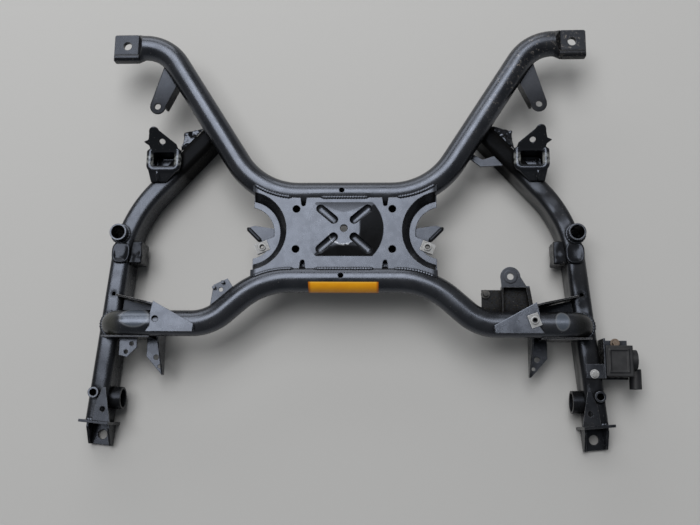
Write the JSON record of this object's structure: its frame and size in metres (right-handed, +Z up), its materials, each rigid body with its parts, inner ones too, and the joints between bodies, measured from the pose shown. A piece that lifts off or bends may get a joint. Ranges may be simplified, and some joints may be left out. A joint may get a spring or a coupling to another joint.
{
  "type": "front subframe",
  "caption": "Welded tubular car subframe: bent cross tubes joined by a pressed centre plate, box side rails with mount sleeves, brackets, lugs and a small sensor on one rail.",
  "frame": {"origin": "centre of the centre bore at the top of the plate's hub", "axes": "+X across the car towards the side with the sensor, +Y towards the flattened tube ends, +Z up along the centre bore"},
  "size_m": [1.0324, 0.7983, 0.1255],
  "materials": {
    "black_paint": "satin black paint with dust and worn specks",
    "zinc": "zinc plated",
    "rusty_steel": "rusty",
    "black_rubber": "matt",
    "black_plastic": "matt",
    "amber_film": "blank film strip"
  },
  "bodies": {
    "root": {"front_tube": "black_paint", "rear_tube": "black_paint", "centre_plate_upper": "black_paint", "centre_plate_lower": "black_paint", "flange_tab_left": "black_paint", "flange_tab_right": "black_paint", "clip_nuts": "zinc", "side_rail_left": "black_paint", "side_rail_right": "black_paint", "body_sleeve_left": "black_paint", "body_sleeve_right": "black_paint", "rear_sleeve_left": "black_paint", "rear_sleeve_right": "black_paint", "cup_bracket_left": "black_paint", "cup_bracket_right": "black_paint", "rail_collar_left": "black_paint", "rail_collar_right": "black_paint", "front_gusset_left": "black_paint", "front_gusset_right": "black_paint", "tube_gusset_left": "black_paint", "tube_gusset_right": "black_paint", "saddle_front_left": "black_paint", "saddle_front_right": "black_paint", "saddle_rear_left": "black_paint", "saddle_rear_right": "black_paint", "rear_tab_left": "black_paint", "rear_tab_right": "black_paint", "side_tab_left": "black_paint", "pocket_bracket_left": "black_paint", "pocket_bracket_right": "black_paint", "end_plate_left": "black_paint", "end_plate_right": "black_paint", "end_lug_left": "black_paint", "end_lug_right": "black_paint", "end_gusset_left": "black_paint", "end_gusset_right": "black_paint", "bush_housing_left": "black_paint", "bush_housing_right": "black_paint", "box_bracket": "black_paint", "box_stud": "black_rubber", "hose_bracket": "black_paint", "rail_strap": "black_paint", "sensor_bracket": "black_paint", "sensor_body": "black_plastic", "sensor_cap": "black_plastic", "sensor_plug": "black_plastic", "sensor_bolt": "rusty_steel", "sensor_screw": "zinc", "marker_strip": "amber_film"}
  },
  "joints": []
}
